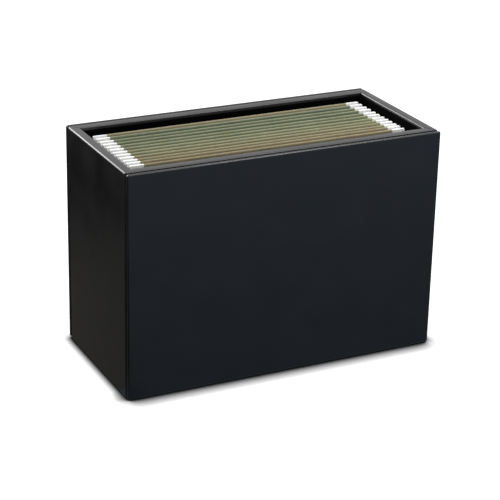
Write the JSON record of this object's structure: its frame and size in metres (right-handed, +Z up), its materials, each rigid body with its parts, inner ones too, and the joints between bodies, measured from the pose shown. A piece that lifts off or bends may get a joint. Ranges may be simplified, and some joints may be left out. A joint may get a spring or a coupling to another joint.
{
  "type": "file box",
  "caption": "Open box of leather-covered boards holding hanging card folders: white hooks rest on steel rails inside the short walls, and each folder lifts out and opens.",
  "frame": {"origin": "middle of the flat underside of the felt base pad", "axes": "+X to the right along the folders, +Y from the front cover to the back cover, +Z up"},
  "size_m": [0.364, 0.174, 0.25],
  "materials": {
    "leather_black": "satin, smooth bonded leather",
    "fibreboard": "sanded fibreboard",
    "lining_black": "short-pile flocked lining",
    "felt_black": "pressed felt",
    "rail_black": "black powder coat",
    "steel": "zinc-plated",
    "hook_white": "smooth, slightly glossy",
    "card_1": "uncoated card",
    "card_2": "uncoated card",
    "card_3": "uncoated card",
    "card_4": "uncoated card",
    "card_5": "uncoated card",
    "card_6": "uncoated card"
  },
  "bodies": {
    "box": {"base_pad": "felt_black", "base_board": "fibreboard", "floor_lining": "lining_black", "front_board": "fibreboard", "back_board": "fibreboard", "left_board": "fibreboard", "right_board": "fibreboard", "front_leather": "leather_black", "back_leather": "leather_black", "left_leather": "leather_black", "right_leather": "leather_black", "front_lining": "lining_black", "back_lining": "lining_black", "left_lining": "lining_black", "right_lining": "lining_black", "front_cover_board": "fibreboard", "front_cover_leather": "leather_black", "back_cover_board": "fibreboard", "back_cover_leather": "leather_black", "left_rail": "rail_black", "right_rail": "rail_black", "left_rail_screws": "steel", "right_rail_screws": "steel"},
    "folder_1_back": {"folder_1_back_card": "card_1", "folder_1_back_rod": "steel", "folder_1_back_hooks": "hook_white"},
    "folder_1_front": {"folder_1_front_card": "card_1", "folder_1_front_rod": "steel", "folder_1_front_hooks": "hook_white"},
    "folder_2_back": {"folder_2_back_card": "card_2", "folder_2_back_rod": "steel", "folder_2_back_hooks": "hook_white"},
    "folder_2_front": {"folder_2_front_card": "card_2", "folder_2_front_rod": "steel", "folder_2_front_hooks": "hook_white"},
    "folder_3_back": {"folder_3_back_card": "card_3", "folder_3_back_rod": "steel", "folder_3_back_hooks": "hook_white"},
    "folder_3_front": {"folder_3_front_card": "card_3", "folder_3_front_rod": "steel", "folder_3_front_hooks": "hook_white"},
    "folder_4_back": {"folder_4_back_card": "card_4", "folder_4_back_rod": "steel", "folder_4_back_hooks": "hook_white"},
    "folder_4_front": {"folder_4_front_card": "card_4", "folder_4_front_rod": "steel", "folder_4_front_hooks": "hook_white"},
    "folder_5_back": {"folder_5_back_card": "card_5", "folder_5_back_rod": "steel", "folder_5_back_hooks": "hook_white"},
    "folder_5_front": {"folder_5_front_card": "card_5", "folder_5_front_rod": "steel", "folder_5_front_hooks": "hook_white"},
    "folder_6_back": {"folder_6_back_card": "card_6", "folder_6_back_rod": "steel", "folder_6_back_hooks": "hook_white"},
    "folder_6_front": {"folder_6_front_card": "card_6", "folder_6_front_rod": "steel", "folder_6_front_hooks": "hook_white"}
  },
  "joints": [
    {"name": "folder_1_lift", "type": "slide", "parent": "box", "child": "folder_1_back", "axis": [0, 0, 1], "range_m": [0, 0.25]},
    {"name": "folder_1_open", "type": "hinge", "parent": "folder_1_back", "child": "folder_1_front", "pos_m": [0, -0.0424, 0.0098], "axis": [1, 0.0009, 0], "range_deg": [-1.3, 2.2]},
    {"name": "folder_2_lift", "type": "slide", "parent": "box", "child": "folder_2_back", "axis": [0, 0, 1], "range_m": [0, 0.25]},
    {"name": "folder_2_open", "type": "hinge", "parent": "folder_2_back", "child": "folder_2_front", "pos_m": [0, -0.0254, 0.0098], "axis": [1, -0.0007, 0], "range_deg": [-1.3, 0.9]},
    {"name": "folder_3_lift", "type": "slide", "parent": "box", "child": "folder_3_back", "axis": [0, 0, 1], "range_m": [0, 0.25]},
    {"name": "folder_3_open", "type": "hinge", "parent": "folder_3_back", "child": "folder_3_front", "pos_m": [-0.00001, -0.0075, 0.0098], "axis": [1, -0.0044, 0], "range_deg": [-1.3, 0.9]},
    {"name": "folder_4_lift", "type": "slide", "parent": "box", "child": "folder_4_back", "axis": [0, 0, 1], "range_m": [0, 0.25]},
    {"name": "folder_4_open", "type": "hinge", "parent": "folder_4_back", "child": "folder_4_front", "pos_m": [-0.00001, 0.0114, 0.0098], "axis": [1, -0.0017, 0], "range_deg": [-1.3, 0.9]},
    {"name": "folder_5_lift", "type": "slide", "parent": "box", "child": "folder_5_back", "axis": [0, 0, 1], "range_m": [0, 0.25]},
    {"name": "folder_5_open", "type": "hinge", "parent": "folder_5_back", "child": "folder_5_front", "pos_m": [0.00001, 0.031, 0.0098], "axis": [1, 0.0035, 0], "range_deg": [-1.3, 0.9]},
    {"name": "folder_6_lift", "type": "slide", "parent": "box", "child": "folder_6_back", "axis": [0, 0, 1], "range_m": [0, 0.25]},
    {"name": "folder_6_open", "type": "hinge", "parent": "folder_6_back", "child": "folder_6_front", "pos_m": [0.00001, 0.051, 0.0098], "axis": [1, 0.0035, 0], "range_deg": [-1.3, 0.9]}
  ]
}
